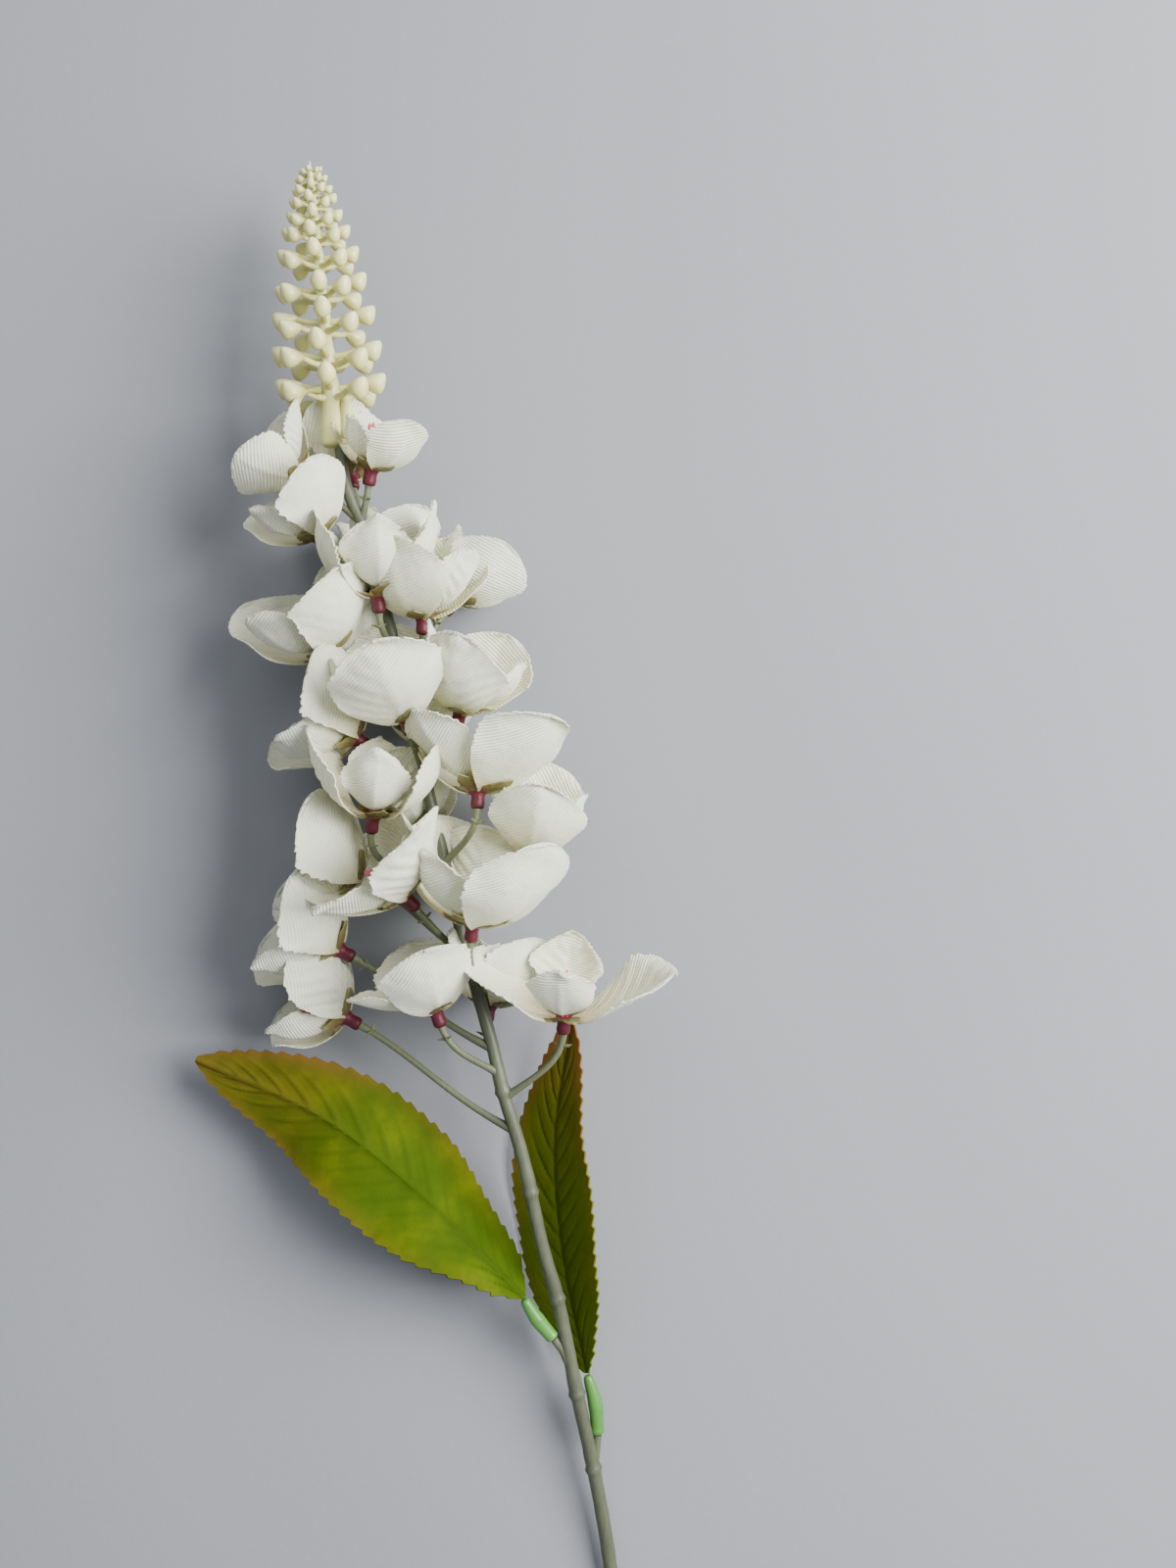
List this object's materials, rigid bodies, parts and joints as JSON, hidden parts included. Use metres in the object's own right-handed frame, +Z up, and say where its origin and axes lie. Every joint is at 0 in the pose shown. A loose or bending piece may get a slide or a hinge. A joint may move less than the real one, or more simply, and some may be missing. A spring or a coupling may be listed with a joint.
{
  "type": "artificial lupin flower spike",
  "caption": "Fabric lupin flower spike with cupped white blooms, a moulded cream bud tip, a plastic stem and toothed green leaves, lying on its back.",
  "frame": {"origin": "middle of the footprint, on the surface it lies on", "axes": "+Y from the cut end of the stem towards the tip of the buds, +Z up from the surface towards the side that faces the viewer, +X to the right"},
  "size_m": [0.125, 0.4058, 0.0624],
  "materials": {
    "fabric": "fine woven cloth, matt, off-white and a little creamy",
    "socket": "soft moulded plastic, crimson socket and stamens, olive sepals",
    "stem": "soft moulded plastic, grey green",
    "bud": "moulded plastic, cream, slight gloss",
    "leaf": "printed cloth, yellow green, rust coloured towards the tip",
    "sleeve": "moulded plastic, fresh green, slight gloss"
  },
  "bodies": {
    "root": {"stem": "stem", "bud_tip": "bud", "petals_01": "fabric", "calyx_01": "socket", "petals_02": "fabric", "calyx_02": "socket", "petals_03": "fabric", "calyx_03": "socket", "petals_04": "fabric", "calyx_04": "socket", "petals_05": "fabric", "calyx_05": "socket", "petals_06": "fabric", "calyx_06": "socket", "petals_07": "fabric", "calyx_07": "socket", "petals_08": "fabric", "calyx_08": "socket", "petals_09": "fabric", "calyx_09": "socket", "petals_10": "fabric", "calyx_10": "socket", "petals_11": "fabric", "calyx_11": "socket", "petals_12": "fabric", "calyx_12": "socket", "petals_13": "fabric", "calyx_13": "socket", "petals_14": "fabric", "calyx_14": "socket", "petals_15": "fabric", "calyx_15": "socket", "petals_16": "fabric", "calyx_16": "socket", "petals_17": "fabric", "calyx_17": "socket", "petals_18": "fabric", "calyx_18": "socket", "petals_19": "fabric", "calyx_19": "socket", "petals_20": "fabric", "calyx_20": "socket", "petals_21": "fabric", "calyx_21": "socket", "petals_22": "fabric", "calyx_22": "socket", "petals_23": "fabric", "calyx_23": "socket", "petals_24": "fabric", "calyx_24": "socket", "petals_25": "fabric", "calyx_25": "socket", "petals_26": "fabric", "calyx_26": "socket", "petals_27": "fabric", "calyx_27": "socket", "leaf_broad": "leaf", "sleeve_broad": "sleeve", "leaf_rear": "leaf", "sleeve_rear": "sleeve"}
  },
  "joints": []
}
